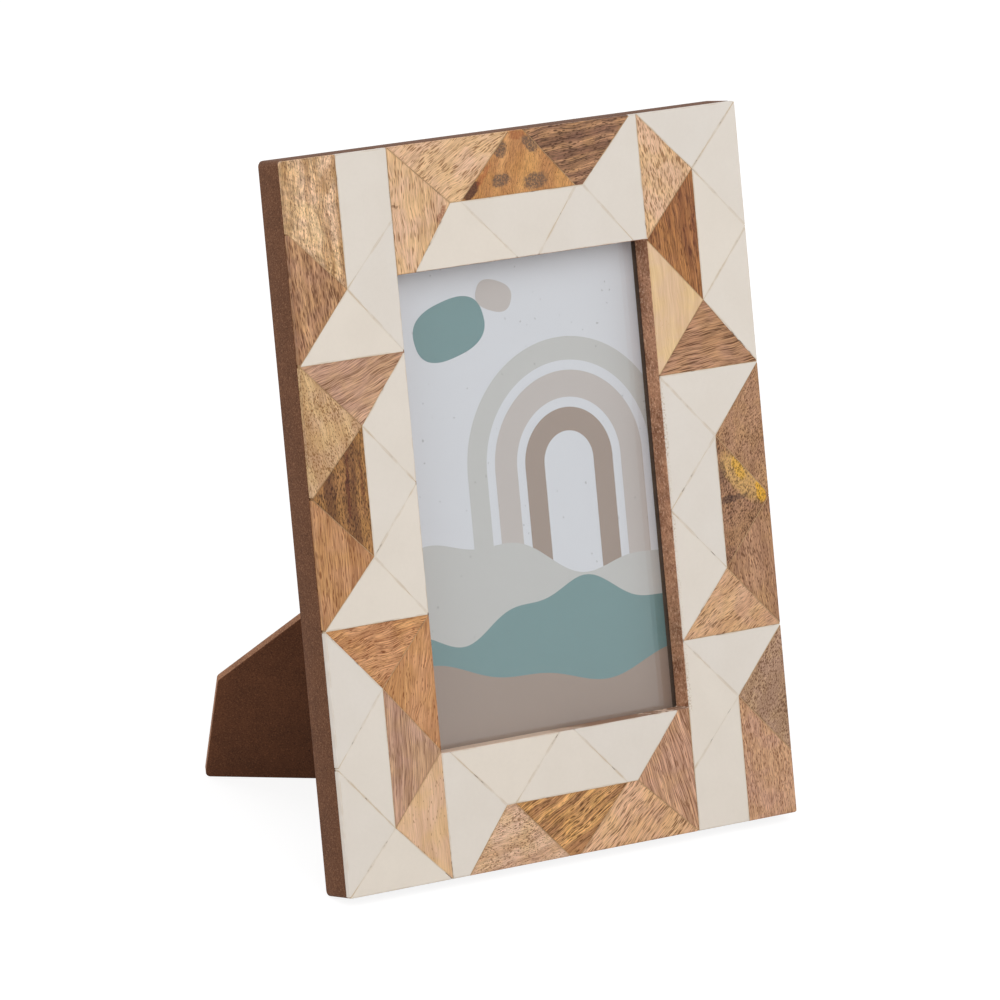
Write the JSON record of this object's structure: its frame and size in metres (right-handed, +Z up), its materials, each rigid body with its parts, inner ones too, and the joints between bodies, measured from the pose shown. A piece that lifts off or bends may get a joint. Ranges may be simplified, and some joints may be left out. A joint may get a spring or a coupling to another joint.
{
  "type": "picture frame",
  "caption": "Table photo frame with a mosaic front of wood and bone-coloured triangles, a glazed window, a back held by turn buttons and a diagonal folding easel leg.",
  "frame": {"origin": "middle of the bounding box in X and Y, on the table that the frame stands on", "axes": "+Z up, the picture faces -Y and leans back towards +Y, +X to the viewer's right; the leg's foot lies behind the frame on the viewer's left"},
  "size_m": [0.165, 0.1147, 0.2117],
  "materials": {
    "core_fibreboard": "raw brown fibreboard with a fine fibrous edge, matt",
    "back_fibreboard": "dark brown fibreboard sheet with paler sawn edges, matt",
    "bone_resin": "cream bone-like resin, polished to a soft sheen",
    "wood_pale": "pale yellow wood, sanded and waxed",
    "wood_straw": "straw-coloured wood, sanded and waxed",
    "wood_honey": "honey-coloured wood, sanded and waxed",
    "wood_amber": "orange-brown wood, sanded and waxed",
    "wood_rosy": "pinkish brown wood, sanded and waxed",
    "wood_umber": "grey-brown wood, sanded and waxed",
    "wood_dark": "dark brown wood, sanded and waxed",
    "clear_glass": "clear float glass",
    "printed_card": "matt printed card",
    "hinge_metal": "brass-plated sheet steel",
    "button_metal": "brass-plated sheet steel"
  },
  "bodies": {
    "frame": {"frame_core": "core_fibreboard", "wood_tile_left_1": "wood_straw", "wood_tile_left_2": "wood_rosy", "wood_tile_left_3": "wood_amber", "wood_tile_left_4": "wood_amber", "wood_tile_left_5": "wood_amber", "wood_tile_left_6": "wood_dark", "wood_tile_left_7": "wood_honey", "wood_tile_left_8": "wood_rosy", "wood_tile_left_9": "wood_umber", "wood_tile_left_10": "wood_honey", "wood_tile_right_1": "wood_straw", "wood_tile_right_2": "wood_dark", "wood_tile_right_3": "wood_pale", "wood_tile_right_4": "wood_umber", "wood_tile_right_5": "wood_umber", "wood_tile_right_6": "wood_umber", "wood_tile_right_7": "wood_umber", "wood_tile_right_8": "wood_honey", "wood_tile_right_9": "wood_umber", "wood_tile_right_10": "wood_rosy", "wood_tile_top_1": "wood_straw", "wood_tile_top_2": "wood_straw", "wood_tile_top_3": "wood_amber", "wood_tile_top_4": "wood_dark", "wood_tile_bottom_1": "wood_rosy", "wood_tile_bottom_2": "wood_honey", "wood_tile_bottom_3": "wood_amber", "wood_tile_bottom_4": "wood_honey", "bone_tiles_left_lower": "bone_resin", "bone_tiles_left_middle": "bone_resin", "bone_tiles_left_upper": "bone_resin", "bone_tiles_right_lower": "bone_resin", "bone_tiles_right_middle": "bone_resin", "bone_tiles_right_upper": "bone_resin", "bone_tiles_top": "bone_resin", "bone_tiles_bottom": "bone_resin", "glass_pane": "clear_glass", "printed_insert": "printed_card", "back_board": "back_fibreboard", "hinge_back_leaf": "hinge_metal", "hinge_pin": "hinge_metal", "back_leaf_rivets": "hinge_metal", "turn_button_screws": "button_metal"},
    "leg": {"easel_leg": "back_fibreboard", "hinge_leg_leaf": "hinge_metal", "leg_leaf_rivets": "hinge_metal"},
    "turn_button_top": {"turn_button_top": "button_metal"},
    "turn_button_right": {"turn_button_right": "button_metal"},
    "turn_button_bottom": {"turn_button_bottom": "button_metal"},
    "turn_button_left": {"turn_button_left": "button_metal"}
  },
  "joints": [
    {"name": "leg_fold", "type": "hinge", "parent": "frame", "child": "leg", "pos_m": [0.01851, -0.01515, 0.0974], "axis": [0.7071, -0.183, -0.683], "range_deg": [-41.51, 0]},
    {"name": "turn_button_top_turn", "type": "hinge", "parent": "frame", "child": "turn_button_top", "pos_m": [0, 0.00415, 0.18565], "axis": [0, 0.9659, -0.2588], "continuous": true},
    {"name": "turn_button_right_turn", "type": "hinge", "parent": "frame", "child": "turn_button_right", "pos_m": [0.0588, -0.01764, 0.10432], "axis": [0, 0.9659, -0.2588], "continuous": true},
    {"name": "turn_button_bottom_turn", "type": "hinge", "parent": "frame", "child": "turn_button_bottom", "pos_m": [0, -0.03943, 0.02299], "axis": [0, 0.9659, -0.2588], "continuous": true},
    {"name": "turn_button_left_turn", "type": "hinge", "parent": "frame", "child": "turn_button_left", "pos_m": [-0.0588, -0.01764, 0.10432], "axis": [0, 0.9659, -0.2588], "continuous": true}
  ]
}
